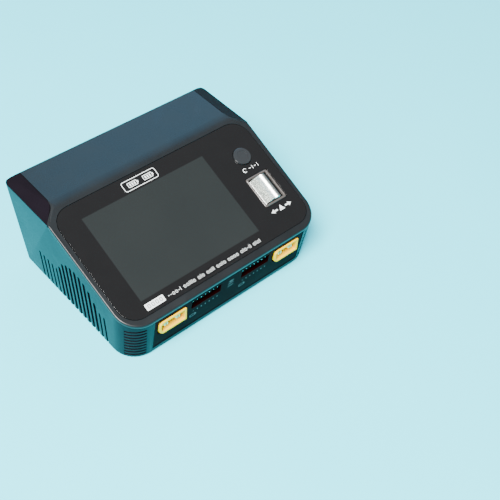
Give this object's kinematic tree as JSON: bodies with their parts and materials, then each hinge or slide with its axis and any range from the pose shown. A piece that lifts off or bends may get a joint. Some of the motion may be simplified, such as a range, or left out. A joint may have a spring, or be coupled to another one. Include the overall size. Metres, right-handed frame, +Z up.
{
  "type": "balance charger",
  "caption": "Wedge-shaped desktop balance charger with a sloping display panel, press roller, exit button, front battery sockets, side vents and rear power inlets.",
  "frame": {"origin": "middle of the footprint's box, on the surface the rubber feet stand on", "axes": "+X to the right along the front, +Y towards the back, +Z up"},
  "size_m": [0.1246, 0.0992, 0.0544],
  "materials": {
    "shell": "fine satin texture",
    "lens": "clear gloss",
    "screen": "smooth",
    "bezel": "satin",
    "silver": "satin plated",
    "yellow": "satin moulded",
    "brass": "polished",
    "tin": "bright",
    "black": "satin moulded",
    "board": "lacquered",
    "ferrite": "matt",
    "tape": "glossy tape",
    "sleeve": "shrink sleeve",
    "alloy": "extruded",
    "rubber": "matt",
    "steel": "zinc plated",
    "flex": "smooth"
  },
  "bodies": {
    "charger": {"balance_header_left": "black", "balance_header_right": "black", "balance_pins_left": "tin", "balance_pins_right": "tin", "bulk_capacitor_a": "sleeve", "bulk_capacitor_b": "sleeve", "buzzer": "black", "case_screw_1": "steel", "case_screw_2": "steel", "case_screw_3": "steel", "case_screw_4": "steel", "dc_input_pin_a": "brass", "dc_input_pin_b": "brass", "dc_input_socket": "yellow", "display_board": "board", "display_lens": "lens", "display_module": "screen", "display_ribbon": "flex", "exit_switch": "black", "fan_frame": "black", "film_capacitor": "yellow", "front_port_plate": "shell", "fuse": "tin", "heat_sink_left": "alloy", "heat_sink_right": "alloy", "inductor_left": "ferrite", "inductor_right": "ferrite", "key_board": "board", "line_filter_choke": "ferrite", "lower_shell": "shell", "main_board": "board", "mains_inlet": "black", "mains_pin_a": "tin", "mains_pin_b": "tin", "output_pin_left_a": "brass", "output_pin_left_b": "brass", "output_pin_right_a": "brass", "output_pin_right_b": "brass", "output_socket_left": "yellow", "output_socket_right": "yellow", "rear_port_plate": "shell", "roller_bezel": "bezel", "roller_switch": "black", "rubber_foot_1": "rubber", "rubber_foot_2": "rubber", "rubber_foot_3": "rubber", "rubber_foot_4": "rubber", "transformer_core": "ferrite", "transformer_winding": "tape", "upper_shell": "shell", "usb_c_shell": "tin", "usb_c_tongue": "black"},
    "button": {"exit_button": "black"},
    "carrier": {"roller_carrier": "black"},
    "roller": {"roller_wheel": "silver"},
    "fan": {"fan_rotor": "black"}
  },
  "joints": [
    {"name": "button_press", "type": "slide", "parent": "charger", "child": "button", "axis": [0, 0.3616, -0.9323], "range_m": [0, 0.0005], "stiffness_N_per_m": 400},
    {"name": "roller_press", "type": "slide", "parent": "charger", "child": "carrier", "axis": [0, 0.3616, -0.9323], "range_m": [0, 0.0005], "stiffness_N_per_m": 400},
    {"name": "roller_turn", "type": "hinge", "parent": "carrier", "child": "roller", "pos_m": [0.0458, -0.02123, 0.03486], "axis": [0, 0.9323, 0.3616], "continuous": true},
    {"name": "fan_turn", "type": "hinge", "parent": "charger", "child": "fan", "pos_m": [-0.05175, -0.00657, 0.0183], "axis": [1, 0, 0], "continuous": true}
  ]
}
